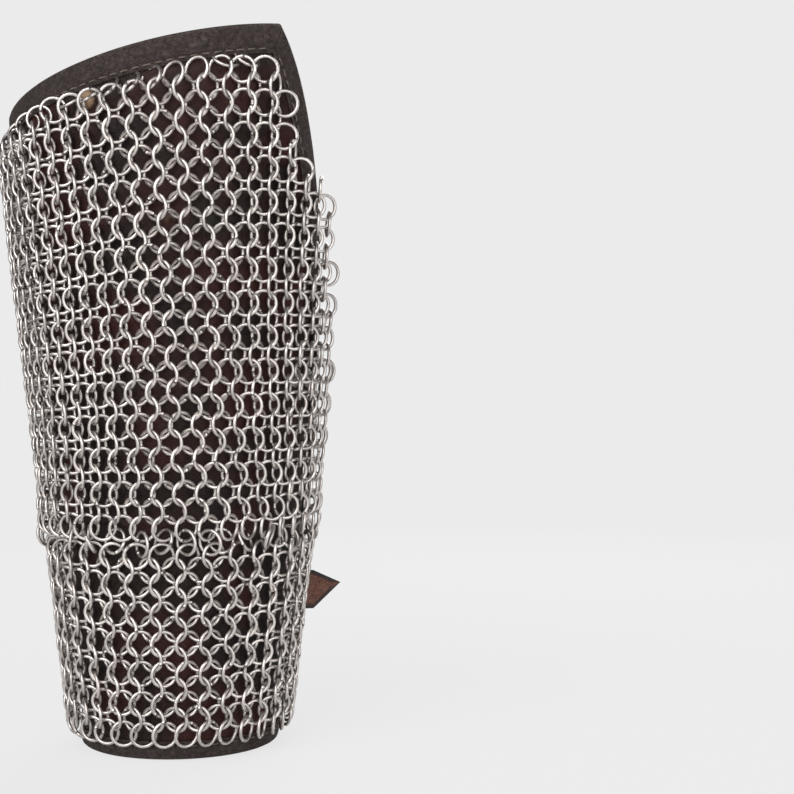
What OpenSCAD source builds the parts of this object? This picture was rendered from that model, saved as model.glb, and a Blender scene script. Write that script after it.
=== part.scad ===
// Chainmail bracer: a tapered leather sleeve bound at its edges, hung with riveted-style ring mail,
// and closed at the back by two buckled straps. Millimetres, +Z towards the elbow.
// The origin is the middle of the wrist rim, on which the bracer stands. The front faces -Y.
// Azimuths are in degrees, counted from the front towards +X.

/* [Arm shell] */
// Outer radius of the leather at the wrist rim
wrist_r = 40.5; // [38:0.5:46]
// Growth of that radius for each millimetre of height
flare = 0.1155; // [0.1:0.0005:0.125]
// Thickness of the leather backing
backing_t = 3; // [2:0.1:4]
// Thickness of the suede lining
lining_t = 1.2; // [0.8:0.1:2]
// Height of the slanted top edge at the arm's axis
top_h = 278.5; // [240:0.5:300]
// Slant of the top edge
top_tilt = 13.5; // [4:0.5:16]
// Azimuth towards which the top edge rises
top_az = 70; // [40:1:90]

/* [Closure] */
// Azimuth that the plane of the closing edge faces
edge_az = 206.4; // [200:0.2:212]
// Lean of that plane
edge_tilt = 16.93; // [15:0.01:18]
// Distance of that plane from the origin
edge_set = 16.28; // [10:0.01:20]
// Azimuth of the back panel's free edge
flap_az = 186; // [180:1:190]
// Azimuth of the line where the back panel bends
bend_az = 252; // [246:1:256]
// Distance of the bending line outside the leather
bend_out = 2; // [1.6:0.1:3]
// Gap at the bending line
bend_gap = 0.2; // [0.1:0.05:0.5]

/* [Bindings] */
// Thickness of the binding leather
bind_t = 1; // [0.6:0.1:1]
// Width of the top binding
top_w = 11; // [8:0.5:14]
// Width of the wrist binding
rim_w = 8; // [6:0.5:11]
// Width of the back panel's side binding
side_w = 10; // [7:0.5:10]
// Angle round the arm that the closing edge's binding takes up
side_angle = 9; // [7:0.5:10]

/* [Stitching] */
// Diameter of the sewing thread
thread_d = 0.8; // [0.5:0.1:1]
// Length of a stitch
stitch_l = 3.2; // [2:0.1:4]
// Distance from one stitch to the next
stitch_pitch = 4.5; // [4.2:0.1:6]
// Distance of a seam from the binding's inner edge
seam_in = 1.6; // [1:0.1:2.5]

/* [Mail] */
// Diameter of the ring wire
wire_d = 1.3; // [1:0.05:1.35]
// Mean diameter of a ring
ring_d = 9.9; // [9.8:0.05:10]
// Turn of a ring out of the sheet
ring_lean = 25; // [24:0.5:26]
// How much that turn varies from ring to ring
ring_wobble = 1.2; // [0:0.1:1.5]
// Angle between the columns of the wide mesh near the wrist
lower_step = 5.4; // [5.3:0.05:5.5]
// Angle between the columns of the narrow mesh above it
upper_step = 3.5; // [3.4:0.05:3.6]
// Distance between the middles of two linked rings near the wrist
lower_link = 7.65; // [7.6:0.01:7.68]
// Distance between the middles of two linked rings above
upper_link = 7.8; // [7.7:0.01:7.82]
// Distance from the leather to the middle of the lower mail
lower_out = 3.9; // [3.9:0.1:4.5]
// Distance from the leather to the middle of the upper mail
upper_out = 4.3; // [4:0.1:5]
// Height where the two meshes meet
join_z = 86; // [70:1:110]
// Share of the top edge's slant that the upper courses take on
fan_share = 0.6; // [0:0.05:0.6]
// Sideways drift of the upper columns at the top
drift_l = 7.5; // [0:0.5:8]
// How far the top rings lap over the top binding
top_lap = 1.6; // [0:0.1:2]
// How far the rings lap over the closing edge's binding where they stay off it
side_lap = 1.4; // [0:0.1:1.4]
// Height above which they stay off it
free_z = 237; // [200:1:260]
// Azimuth of the mail's edge on the back panel's side
mail_from_az = -100.8; // [-101:0.2:-90]

/* [Straps] */
// Width of a strap
strap_w = 18; // [14:0.5:18]
// Thickness of a strap
strap_t = 3; // [2:0.1:3]
// Height of the lower strap
lower_z = 57; // [50:1:70]
// Height of the upper strap
upper_z = 155; // [130:1:170]
// Free length of the lower strap
lower_l = 76; // [60:1:80]
// Free length of the upper strap
upper_l = 68; // [60:1:72]
// Azimuth where a strap leaves the back panel
leave_az = 190; // [189:1:192]
// Angle over which a strap is riveted to the back panel
root_angle = 36; // [35:1:38]
// Length of the pointed tip
tip_l = 13; // [8:0.5:18]
// Diameter of a strap hole
hole_d = 3.4; // [2.5:0.1:4]
// Distance from one hole to the next
hole_pitch = 11; // [8:0.5:12]

/* [Buckles] */
// Diameter of the frame wire
frame_d = 3; // [2.5:0.1:3.4]
// Length of the frame from bar to bar
frame_l = 18; // [15:0.5:20]
// Play of the strap in the frame
frame_play = 1; // [0.6:0.1:2]
// Outer diameter of the roller
roller_d = 5; // [4.6:0.1:6]
// Diameter of the prong
prong_d = 2.6; // [2:0.1:2.8]
// Radial play of a turning fit
pin_play = 0.05; // [0.03:0.01:0.08]
// Thickness of the folded chape
chape_t = 3.2; // [2.8:0.1:3.6]
// Azimuth of the lower buckle's bar
lower_bar_az = 135; // [133:1:138]
// Azimuth of the upper buckle's bar
upper_bar_az = 118; // [112:1:122]
// Width of the keeper loop
keeper_w = 5; // [4:0.5:6]
// Thickness of the keeper loop
keeper_t = 1.5; // [1:0.1:2]
// Distance from the bar to the keeper's middle
keeper_set = 7; // [6.5:0.1:7.5]

/* [Rivets] */
// Diameter of a rivet shank
rivet_d = 3; // [2:0.1:3.5]
// Diameter of a rivet head
rivet_head_d = 8; // [6:0.5:9]
// Height of a rivet head
rivet_head_h = 1.4; // [1:0.1:2]
// Height of a rivet cap under the mail
cap_h = 0.8; // [0.5:0.1:0.9]
// Distance from a strap's end to its first rivet
rivet_set = 6; // [5:0.5:7]
// Distance between two rivets
rivet_pitch = 10.5; // [9.5:0.1:11]

/* [Hidden] */

leather = "#3a2622";
binding = "#4a4240";
suede = "#5a4034";
thread = "#6e5c50";
steel = "#c9c4c0";
iron = "#8a8784";

// Facets of round parts, of rings and of small fittings in a preview
round_fn = 120;
ring_fn = 32;
wire_fn = 16;
small_fn = 32;

// A solid much larger than the bracer, for cutting
huge = 1200;
// Height of the uncut sleeve
tall = 320;
// Clearance under what lies on leather, and under a rivet cap on a hollow face
lay = 0.1;
hollow_lay = 0.3;
// Gap where a strap's free end leaves its riveted root
strap_gap = 0.2;
// How far a cut laps over the next one
lap = 5;

stack_t = backing_t + lining_t;
lean = atan(flare);
ring_r = ring_d / 2;
half_ring = ring_r + wire_d / 2;
// Azimuth where the closing edge starts to cut the sleeve
edge_from_az = edge_az - 180;
strap_out = bind_t + lay;
chape_in = stack_t + bind_t + lay;
bar_in = chape_in + chape_t / 2;
frame_half = strap_w / 2 + frame_play + frame_d / 2;
slot_w = 5;
eye_d = 6;
bend_angle_gap = bend_gap / wrist_r * 180 / PI;

function skin_r(z) = wrist_r + flare * z;
function arc_angle(l, z) = l / skin_r(z) * 180 / PI;
function towards(az, l) = [l * sin(az), -l * cos(az)];

// Height of the top plane at an azimuth, a distance below the edge
function top_z(az, down) =
  (top_h - down / cos(top_tilt) + tan(top_tilt) * wrist_r * cos(az - top_az))
  / (1 - tan(top_tilt) * flare * cos(az - top_az));

// Azimuth of the closing edge at a height, and of a line a distance inside its binding
function edge_at(z) =
  edge_from_az + acos(max(-1, min(1,
    (sin(edge_tilt) * z - edge_set) / (cos(edge_tilt) * skin_r(z)))));
function inside_edge(z, l) = edge_at(z) - side_angle - arc_angle(l, z);

// Puts its children on the leather: X along the skin, Y inwards, Z up the slope
module on_skin(az, z, out = 0) {
  rotate([0, 0, az])
    translate([0, -skin_r(z), z])
      rotate([lean, 0, 0])
        translate([0, -out, 0])
          children();
}

// A full sleeve between two distances from the leather's outer face
module sleeve(inner, outer, from_z = 0) {
  rotate_extrude($fn = round_fn)
    polygon([
      [skin_r(from_z) + inner, from_z],
      [skin_r(from_z) + outer, from_z],
      [skin_r(tall) + outer, tall],
      [skin_r(tall) + inner, tall]
    ]);
}

// All that lies between two azimuths less than half a turn apart
module wedge(from_az, to_az) {
  translate([0, 0, -huge / 2])
    linear_extrude(huge)
      polygon([[0, 0], towards(from_az, huge), towards((from_az + to_az) / 2, huge), towards(to_az, huge)]);
}

// All that lies above the top plane, lowered by a distance
module above_top(down = 0) {
  translate([0, 0, top_h])
    rotate([0, 0, top_az])
      rotate([-top_tilt, 0, 0])
        translate([-huge / 2, -huge / 2, -down])
          cube(huge);
}

// The opening at the closure, widened by a distance or by an angle round the arm
module closure(widen = 0, turn = 0) {
  rotate([0, 0, -turn])
    intersection() {
      rotate([0, 0, edge_az])
        rotate([-edge_tilt, 0, 0])
          translate([-huge / 2, -huge - edge_set + widen, -huge / 2])
            cube(huge);
      wedge(edge_from_az, flap_az);
    }
}

// All within a distance of the back panel's free edge
module back_edge(w) {
  rotate([0, 0, flap_az])
    translate([-huge / 2, -huge, -huge / 2])
      cube([huge / 2 + w, huge, huge]);
}

module below(z) {
  translate([-huge / 2, -huge / 2, z - huge])
    cube(huge);
}

// Cuts a sleeve to the front piece, with its free edges drawn in by a distance
module front_cut(set = 0) {
  difference() {
    children();
    wedge(flap_az - lap, bend_az);
    closure(set);
    above_top(set);
  }
}

// Cuts a sleeve to the back panel in the same way
module back_cut(set = 0) {
  difference() {
    intersection() {
      children();
      wedge(flap_az, bend_az - bend_angle_gap);
    }
    back_edge(set);
    above_top(set);
  }
}

module front_stack() {
  front_cut(bind_t)
    sleeve(-stack_t, 0, bind_t);
}

module back_stack() {
  back_cut(bind_t)
    sleeve(-stack_t, 0, bind_t);
}

module clad() {
  sleeve(-stack_t - bind_t, bind_t);
}

// Azimuths of a strap's two rivets on the back panel
function root_rivet_az(z, i) = leave_az + root_angle - arc_angle(rivet_set + rivet_pitch * i, z);

// Azimuths of a chape's two rivets in the front piece
function chape_rivet_az(z, i) = inside_edge(z, rivet_head_d / 2 + 1 + rivet_pitch * i);

module rivet_bore(az, z) {
  on_skin(az, z)
    rotate([90, 0, 0])
      cylinder(d = rivet_d + 2 * pin_play, h = 40, center = true, $fn = small_fn);
}

module chape_bores() {
  for (z = [lower_z, upper_z], i = [0, 1])
    rivet_bore(chape_rivet_az(z, i), z);
}

module root_bores() {
  for (z = [lower_z, upper_z], i = [0, 1])
    rivet_bore(root_rivet_az(z, i), z);
}

module front_backing() {
  color(leather)
    difference() {
      front_cut(bind_t)
        sleeve(-backing_t, 0, bind_t);
      chape_bores();
    }
}

module front_lining() {
  color(suede)
    difference() {
      front_cut(bind_t)
        sleeve(-stack_t, -backing_t, bind_t);
      chape_bores();
    }
}

module top_binding() {
  color(binding)
    difference() {
      intersection() {
        front_cut()
          clad();
        above_top(top_w);
      }
      front_stack();
    }
}

module wrist_binding() {
  color(binding)
    difference() {
      intersection() {
        front_cut()
          clad();
        below(rim_w);
      }
      front_stack();
    }
}

module closure_binding() {
  color(binding)
    difference() {
      intersection() {
        front_cut()
          clad();
        closure(0, side_angle);
      }
      front_stack();
      above_top(top_w);
      below(rim_w);
    }
}

module back_panel() {
  color(leather)
    difference() {
      back_cut(bind_t)
        sleeve(-backing_t, 0, bind_t);
      root_bores();
    }
}

module back_lining() {
  color(suede)
    difference() {
      back_cut(bind_t)
        sleeve(-stack_t, -backing_t, bind_t);
      root_bores();
    }
}

module back_top_binding() {
  color(binding)
    difference() {
      intersection() {
        back_cut()
          clad();
        above_top(top_w);
      }
      back_stack();
    }
}

module back_wrist_binding() {
  color(binding)
    difference() {
      intersection() {
        back_cut()
          clad();
        below(rim_w);
      }
      back_stack();
    }
}

module back_edge_binding() {
  color(binding)
    difference() {
      intersection() {
        back_cut()
          clad();
        back_edge(side_w);
      }
      back_stack();
      above_top(top_w);
      below(rim_w);
    }
}

// One stitch along the skin, turned from the level by an angle
module stitch(az, z, turn) {
  on_skin(az, z, bind_t + thread_d / 2 + lay / 2)
    rotate([0, 90 - turn, 0])
      cylinder(d = thread_d, h = stitch_l, center = true, $fn = wire_fn);
}

module top_seam(from_az, to_az) {
  step = arc_angle(stitch_pitch, top_h);
  for (az = [from_az : step : to_az])
    stitch(az, top_z(az, top_w - seam_in), -atan(tan(top_tilt) * sin(az - top_az)));
}

module wrist_seam(from_az, to_az) {
  z = rim_w - seam_in;
  step = arc_angle(stitch_pitch, z);
  for (az = [from_az : step : to_az])
    stitch(az, z, 0);
}

// Height at which the two front seams meet
corner_z = top_z(edge_from_az + 15, top_w);

module front_seams() {
  color(thread) {
    top_seam(bend_az - 360 + 2, inside_edge(corner_z, stitch_l / 2));
    wrist_seam(bend_az - 360 + 3, inside_edge(rim_w, 0));
  }
}

// Turn of the closing edge's seam from the level
function edge_turn(z) =
  90 - atan((inside_edge(z + 1, 0) - inside_edge(z, 0)) * PI / 180 * skin_r(z));

// The closing edge's seam where the mail leaves it bare
module closure_seam() {
  first = free_z + half_ring + stitch_l;
  last = corner_z - stitch_l;
  rows = [for (z = first; z < last; z = z + stitch_pitch * sin(edge_turn(z))) z];
  color(thread)
    for (z = rows)
      stitch(inside_edge(z, -seam_in), z, edge_turn(z));
}

module back_seams() {
  inside = side_w - seam_in;
  last = top_z(flap_az, top_w + stitch_l);
  color(thread) {
    top_seam(flap_az + arc_angle(side_w, top_h), bend_az - 2);
    wrist_seam(flap_az + arc_angle(side_w, 0), bend_az - 3);
    for (z = [rim_w + stitch_l : stitch_pitch : last])
      if (min(abs(z - lower_z), abs(z - upper_z)) > (strap_w + stitch_l) / 2 + lay)
        stitch(flap_az + asin(inside / skin_r(z)), z, 90);
  }
}

// A band that lies round the sleeve, between two distances from the leather
module skin_band(z, w, inner, outer) {
  rotate_extrude($fn = round_fn)
    translate([skin_r(z), z])
      rotate(-lean)
        translate([inner, -w / 2])
          square([outer - inner, w]);
}

module strap_root(z) {
  color(leather)
    difference() {
      intersection() {
        skin_band(z, strap_w, strap_out, strap_out + strap_t);
        wedge(leave_az, leave_az + root_angle);
      }
      root_bores();
    }
}

// Outline of a strap's free end, with its point above the middle
module strap_outline(l) {
  w = strap_w / 2;
  difference() {
    polygon([[-strap_gap, -w], [-l + tip_l, -w], [-l, w / 6], [-l + tip_l, w], [-strap_gap, w]]);
    for (i = [0 : 4])
      translate([-l + 2 * tip_l + i * hole_pitch, 0])
        circle(d = hole_d, $fn = small_fn);
  }
}

module strap_end(z, l) {
  color(leather)
    on_skin(leave_az, z, strap_out)
      rotate([90, 0, 0])
        linear_extrude(strap_t)
          strap_outline(l);
}

// A rivet with its domed head outwards
module rivet(az, z, head_out, tail_in, head_h) {
  on_skin(az, z) {
    rotate([90, 0, 0])
      translate([0, 0, -tail_in])
        cylinder(d = rivet_d, h = tail_in + head_out, $fn = small_fn);
    translate([0, -head_out, 0])
      rotate([90, 0, 0])
        cylinder(d1 = rivet_head_d, d2 = rivet_head_d * 0.7, h = head_h, $fn = small_fn);
    translate([0, tail_in, 0])
      rotate([-90, 0, 0])
        cylinder(d1 = rivet_head_d, d2 = rivet_head_d * 0.8, h = cap_h, $fn = small_fn);
  }
}

module strap_rivets(z) {
  color(iron)
    for (i = [0, 1])
      rivet(root_rivet_az(z, i), z, strap_out + strap_t + lay, stack_t + hollow_lay, rivet_head_h);
}

module chape_rivets(z) {
  color(iron)
    for (i = [0, 1])
      rivet(chape_rivet_az(z, i), z, lay, chape_in + chape_t + hollow_lay, cap_h);
}

// Puts its children at a buckle's bar: X away from the chape, Y inwards, Z along the bar
module at_bar(az, z) {
  on_skin(az, z, -bar_in)
    children();
}

module chape(az, z) {
  color(leather)
    difference() {
      union() {
        intersection() {
          skin_band(z, strap_w, -chape_in - chape_t, -chape_in);
          wedge(chape_rivet_az(z, 1) - arc_angle(rivet_set, z), az);
        }
        at_bar(az, z)
          cylinder(d = frame_d + 4, h = strap_w, center = true, $fn = small_fn);
      }
      at_bar(az, z) {
        cylinder(d = frame_d + 2 * pin_play, h = strap_w + 2, center = true, $fn = small_fn);
        translate([-eye_d / 2 - 1, -10, -slot_w / 2])
          cube([20, 20, slot_w]);
      }
      chape_bores();
    }
}

module frame_bar(x) {
  translate([x, 0, 0])
    cylinder(d = frame_d, h = 2 * frame_half, center = true, $fn = small_fn);
}

module buckle_frame(az, z) {
  color(iron)
    at_bar(az, z) {
      frame_bar(0);
      frame_bar(frame_l);
      for (s = [-1, 1]) {
        translate([0, 0, s * frame_half])
          rotate([0, 90, 0])
            cylinder(d = frame_d, h = frame_l, $fn = small_fn);
        for (x = [0, frame_l])
          translate([x, 0, s * frame_half])
            sphere(d = frame_d, $fn = small_fn);
      }
    }
}

module roller(az, z) {
  color(steel)
    at_bar(az, z)
      translate([frame_l, 0, 0])
        difference() {
          cylinder(d = roller_d, h = strap_w, center = true, $fn = small_fn);
          cylinder(d = frame_d + 2 * pin_play, h = strap_w + 2, center = true, $fn = small_fn);
        }
}

module prong(az, z) {
  // Heights of the prong's middle line over the bar and over the roller
  root_h = (eye_d - prong_d) / 2;
  tip_h = (roller_d + prong_d) / 2 + lay;
  rise = atan((tip_h - root_h) / frame_l);
  color(steel)
    at_bar(az, z)
      difference() {
        union() {
          cylinder(d = eye_d, h = slot_w - 1, center = true, $fn = small_fn);
          translate([0, -root_h, 0])
            rotate([0, 0, -rise])
              rotate([0, 90, 0])
                cylinder(d1 = prong_d, d2 = prong_d * 0.8, h = frame_l + 2, $fn = small_fn);
        }
        cylinder(d = frame_d + 2 * pin_play, h = slot_w, center = true, $fn = small_fn);
      }
}

// A fixed loop round the chape, with room for the strap
module keeper(az, z) {
  room_w = strap_w + 1;
  out = chape_t / 2 + strap_t + 1;
  in = chape_t / 2 + hollow_lay;
  turn = keeper_set / (skin_r(z) - bar_in) * 180 / PI;
  color(leather)
    at_bar(az - turn, z)
      difference() {
        translate([-keeper_w / 2, -out - keeper_t, -room_w / 2 - keeper_t])
          cube([keeper_w, out + in + 2 * keeper_t, room_w + 2 * keeper_t]);
        translate([-keeper_w, -out, -room_w / 2])
          cube([2 * keeper_w, out + in, room_w]);
      }
}

// Rise from one course to the next, with which linked rings keep their distance
function climb(z, step, link, out) = sqrt(pow(link, 2) - pow((skin_r(z) + out) * step * PI / 180, 2));

lower_first = rim_w + half_ring - seam_in;
lower_courses = [for (z = lower_first; z < join_z; z = z + climb(z, lower_step, lower_link, lower_out)) z];
upper_first = lower_courses[len(lower_courses) - 1] + 2 * half_ring + 2 * lay;
fan_top = top_z(edge_from_az + 17, top_w);
fan_l = fan_top - upper_first;
last_z = fan_top - half_ring + top_lap;
upper_courses = [for (z = upper_first; z < last_z; z = z + climb(z, upper_step, upper_link, upper_out)) z];

// Azimuth and height of an upper ring: the columns drift and the courses fan out towards the slanted top
function upper_place(column_az, z) =
  let (rise = z - upper_first,
       az = column_az - arc_angle(drift_l * pow(rise / fan_l, 2), z))
  [az, upper_first + rise * (1 + fan_share * (top_z(az, top_w) - fan_top) / fan_l)];

// Whether a ring at an azimuth and a height lies on the mail
function on_mail(place) =
  place[0] >= mail_from_az - 0.01
  && place[0] <= (place[1] > free_z ? inside_edge(place[1], half_ring - side_lap) : edge_at(place[1]))
  && place[1] <= top_z(place[0], top_w + half_ring - top_lap);

module ring(place, out, turn) {
  on_skin(place[0], place[1], out)
    rotate([0, 0, turn])
      rotate([90, 0, 0])
        rotate_extrude($fn = ring_fn)
          translate([ring_r, 0])
            circle(d = wire_d, $fn = wire_fn);
}

// Courses of one parity in one band of a mesh: their rings don't link each other
module mesh_band(n, bands, courses, step, out, fanned) {
  parity = n % 2;
  band = floor(n / 2);
  mine = [for (k = [parity : 2 : len(courses) - 1]) k];
  for (i = [0 : len(mine) - 1], j = [-ceil(180 / step) : floor(180 / step)])
    if (floor(i * bands / len(mine)) == band && abs(j % 2) == parity) {
      z = courses[mine[i]];
      place = fanned ? upper_place(j * step, z) : [j * step, z];
      sway = ring_wobble * sin(97 * mine[i] + 41 * j);
      if (on_mail(place))
        ring(place, out, (parity == 0 ? 1 : -1) * ring_lean + sway);
    }
}

// A node of the mail: the first ones are the lower mesh and the others the upper one
module mail(n) {
  lower_bands = 3;
  upper_bands = 8;
  color(steel)
    if (n < 2 * lower_bands)
      mesh_band(n, lower_bands, lower_courses, lower_step, lower_out, false);
    else
      mesh_band(n - 2 * lower_bands, upper_bands, upper_courses, upper_step, upper_out, true);
}

front_backing();
front_lining();
top_binding();
wrist_binding();
closure_binding();
back_panel();
back_lining();
back_top_binding();
back_wrist_binding();
back_edge_binding();
front_seams();
closure_seam();
back_seams();
strap_root(lower_z);  // lower_strap_root
strap_end(lower_z, lower_l);  // lower_strap_end
strap_rivets(lower_z);  // lower_strap_rivets
strap_root(upper_z);  // upper_strap_root
strap_end(upper_z, upper_l);  // upper_strap_end
strap_rivets(upper_z);  // upper_strap_rivets
chape(lower_bar_az, lower_z);  // lower_chape
buckle_frame(lower_bar_az, lower_z);  // lower_buckle_frame
prong(lower_bar_az, lower_z);  // lower_prong
roller(lower_bar_az, lower_z);  // lower_roller
keeper(lower_bar_az, lower_z);  // lower_keeper
chape_rivets(lower_z);  // lower_chape_rivets
chape(upper_bar_az, upper_z);  // upper_chape
buckle_frame(upper_bar_az, upper_z);  // upper_buckle_frame
prong(upper_bar_az, upper_z);  // upper_prong
roller(upper_bar_az, upper_z);  // upper_roller
keeper(upper_bar_az, upper_z);  // upper_keeper
chape_rivets(upper_z);  // upper_chape_rivets
mail(0);  // mail_01
mail(1);  // mail_02
mail(2);  // mail_03
mail(3);  // mail_04
mail(4);  // mail_05
mail(5);  // mail_06
mail(6);  // mail_07
mail(7);  // mail_08
mail(8);  // mail_09
mail(9);  // mail_10
mail(10);  // mail_11
mail(11);  // mail_12
mail(12);  // mail_13
mail(13);  // mail_14
mail(14);  // mail_15
mail(15);  // mail_16
mail(16);  // mail_17
mail(17);  // mail_18
mail(18);  // mail_19
mail(19);  // mail_20
mail(20);  // mail_21
mail(21);  // mail_22
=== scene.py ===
import math

import bmesh
import bpy
import numpy as np
from mathutils import Matrix, Vector


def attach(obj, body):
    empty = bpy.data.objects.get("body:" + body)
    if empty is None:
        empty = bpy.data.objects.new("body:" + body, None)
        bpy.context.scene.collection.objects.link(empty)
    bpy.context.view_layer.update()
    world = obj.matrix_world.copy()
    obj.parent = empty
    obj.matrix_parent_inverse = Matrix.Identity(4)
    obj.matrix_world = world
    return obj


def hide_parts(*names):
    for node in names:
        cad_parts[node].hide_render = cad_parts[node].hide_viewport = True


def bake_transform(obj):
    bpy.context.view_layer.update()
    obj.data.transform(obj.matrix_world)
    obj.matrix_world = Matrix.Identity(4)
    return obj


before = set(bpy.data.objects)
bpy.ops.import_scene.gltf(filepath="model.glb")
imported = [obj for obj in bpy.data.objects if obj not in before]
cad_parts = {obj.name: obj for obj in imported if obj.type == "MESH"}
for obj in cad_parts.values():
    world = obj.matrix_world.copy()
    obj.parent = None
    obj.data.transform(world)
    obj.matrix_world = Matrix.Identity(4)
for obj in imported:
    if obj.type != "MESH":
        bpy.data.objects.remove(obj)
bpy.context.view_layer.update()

# Chainmail bracer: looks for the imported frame. Shapes are worked out in millimetres and made in metres.
# Azimuths are degrees round the arm, from the front (-Y) towards +X.

mm = 0.001

# The sleeve as the frame has it
sleeve = {
    "wristRadius": 40.5, "flare": 0.1155, "backing": 3.0, "lining": 1.2,
    "topHeight": 278.5, "topTilt": 13.5, "topAzimuth": 70,
    "edgeAzimuth": 206.4, "edgeTilt": 16.93, "edgeSet": 16.28,
    "flapAzimuth": 186, "bendAzimuth": 252, "joinAzimuth": 261,
    "bindThickness": 1.0, "topWidth": 11, "rimWidth": 8, "sideWidth": 10, "sideAngle": 9,
}
stack = sleeve["backing"] + sleeve["lining"]
lean = math.atan(sleeve["flare"])
topSlant = math.tan(math.radians(sleeve["topTilt"]))


# Shape of the sleeve

def skinRadius(z):
    return sleeve["wristRadius"] + sleeve["flare"] * z


def arcAngle(length, z):
    return np.degrees(length / skinRadius(z))


def skinPoint(az, z, out):
    a = np.radians(az)
    radius = skinRadius(z) + out * math.cos(lean)
    height = z - out * math.sin(lean) + 0 * a
    return np.stack([radius * np.sin(a), -radius * np.cos(a), height], axis=-1)


def skinAxes(az):
    # Along the skin, outwards, and up the slope
    a = math.radians(az)
    along = np.array([math.cos(a), math.sin(a), 0])
    radial = np.array([math.sin(a), -math.cos(a), 0])
    up = np.array([0, 0, 1.0])
    return along, radial * math.cos(lean) - up * math.sin(lean), radial * math.sin(lean) + up * math.cos(lean)


def topHeight(az, down):
    turn = np.cos(np.radians(az - sleeve["topAzimuth"]))
    level = sleeve["topHeight"] - down / math.cos(math.radians(sleeve["topTilt"]))
    return (level + topSlant * sleeve["wristRadius"] * turn) / (1 - topSlant * sleeve["flare"] * turn)


def edgeAzimuth(z):
    tilt = math.radians(sleeve["edgeTilt"])
    reach = (np.sin(tilt) * z - sleeve["edgeSet"]) / (np.cos(tilt) * skinRadius(z))
    return sleeve["edgeAzimuth"] - 180 + np.degrees(np.arccos(np.clip(reach, -1, 1)))


def insideEdge(z, length):
    return edgeAzimuth(z) - sleeve["sideAngle"] - arcAngle(length, z)


def cornerOfEdge(down, inside):
    # Where a line below the top edge meets a line inside the closing edge
    az = 50.0
    for _ in range(40):
        z = topHeight(az, down)
        az = edgeAzimuth(z) - inside * sleeve["sideAngle"]
    return float(az), float(z)


# Mesh helpers

def unevenness(*values):
    # A smooth pattern between -1 and 1, the same each time
    total = 0
    for k, value in enumerate(values):
        total = total + np.sin(value * 1.3 + 2.1 * k) + 0.6 * np.sin(value * 3.1 + 5.3 * k)
    return total / (1.6 * len(values))


def gridFaces(rows, columns, wrapRows=False, wrapColumns=False):
    r = np.arange(rows if wrapRows else rows - 1)
    c = np.arange(columns if wrapColumns else columns - 1)
    r, c = np.meshgrid(r, c, indexing="ij")
    nextRow, nextColumn = (r + 1) % rows, (c + 1) % columns
    faces = [r * columns + c, r * columns + nextColumn, nextRow * columns + nextColumn, nextRow * columns + c]
    return np.stack(faces, axis=-1).reshape(-1, 4).tolist()


def tubeFaces(rows, columns):
    # Round the columns, with both ends closed
    ends = [list(range(columns)), [(rows - 1) * columns + c for c in reversed(range(columns))]]
    return gridFaces(rows, columns, wrapColumns=True) + ends


def fullTurn(count):
    return np.linspace(0, 2 * math.pi, count, endpoint=False)


def repeatFaces(faces, size, count):
    # The same faces for each of many equal solids in one mesh
    return [[k * size + p for p in face] for k in range(count) for face in faces]


def addObject(name, data):
    made = bpy.data.objects.new(name, data)
    bpy.context.scene.collection.objects.link(made)
    return made


def buildPiece(name, points, faces, material, creaseAngle=50):
    mesh = bpy.data.meshes.new(name)
    mesh.from_pydata((np.asarray(points, float).reshape(-1, 3) * mm).tolist(), [], faces)
    shape = bmesh.new()
    shape.from_mesh(mesh)
    bmesh.ops.recalc_face_normals(shape, faces=shape.faces)
    shape.to_mesh(mesh)
    shape.free()
    mesh.shade_smooth()
    mesh.set_sharp_from_angle(angle=math.radians(creaseAngle))
    mesh.materials.append(material)
    return addObject(name, mesh)


def tubeMesh(name, sections, material, closed=False, creaseAngle=50):
    # Sections along a path, each a closed loop of points
    rows, columns = np.shape(sections)[:2]
    faces = gridFaces(rows, columns, True, True) if closed else tubeFaces(rows, columns)
    return buildPiece(name, sections, faces, material, creaseAngle)


def markPoints(piece, name, values):
    attribute = piece.data.attributes.new(name, "FLOAT", "POINT")
    attribute.data.foreach_set("value", np.asarray(values, np.float32).ravel())


def pointsOf(piece):
    flat = np.zeros(len(piece.data.vertices) * 3, np.float32)
    piece.data.vertices.foreach_get("co", flat)
    return flat.reshape(-1, 3) / mm


def addCutter(shape, matrix):
    # A solid made about the origin, set where it cuts
    shape.transform(matrix)
    cutter = addObject("cutter", bpy.data.meshes.new("cutter"))
    shape.to_mesh(cutter.data)
    shape.free()
    return cutter


def cutAway(piece, cutters):
    for cutter in cutters:
        step = piece.modifiers.new("cut", "BOOLEAN")
        step.operation = "DIFFERENCE"
        step.solver = "EXACT"
        step.object = cutter
    view = bpy.context.evaluated_depsgraph_get()
    cut = bpy.data.meshes.new_from_object(piece.evaluated_get(view))
    piece.modifiers.clear()
    piece.data = cut
    for cutter in cutters:
        bpy.data.objects.remove(cutter)


def place(piece, body, nodes):
    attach(piece, body)
    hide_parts(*nodes)


def bendWithFlap(piece, nodes):
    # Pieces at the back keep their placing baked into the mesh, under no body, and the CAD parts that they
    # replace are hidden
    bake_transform(piece)
    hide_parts(*nodes)


# Materials

# The helpers that are given a socket find their node tree through it

def setInputs(tree, node, inputs):
    for key, value in inputs.items():
        if isinstance(value, bpy.types.NodeSocket):
            tree.links.new(value, node.inputs[key])
        else:
            node.inputs[key].default_value = value
    return node


def addNode(tree, kind, inputs=None, **settings):
    made = tree.nodes.new("ShaderNode" + kind)
    for key, value in settings.items():
        setattr(made, key, value)
    return setInputs(tree, made, inputs or {})


def noise(vector, scale, detail=4, rough=0.55, output="Fac"):
    inputs = {"Vector": vector, "Scale": scale, "Detail": detail, "Roughness": rough}
    return addNode(vector.id_data, "TexNoise", inputs).outputs[output]


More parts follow.
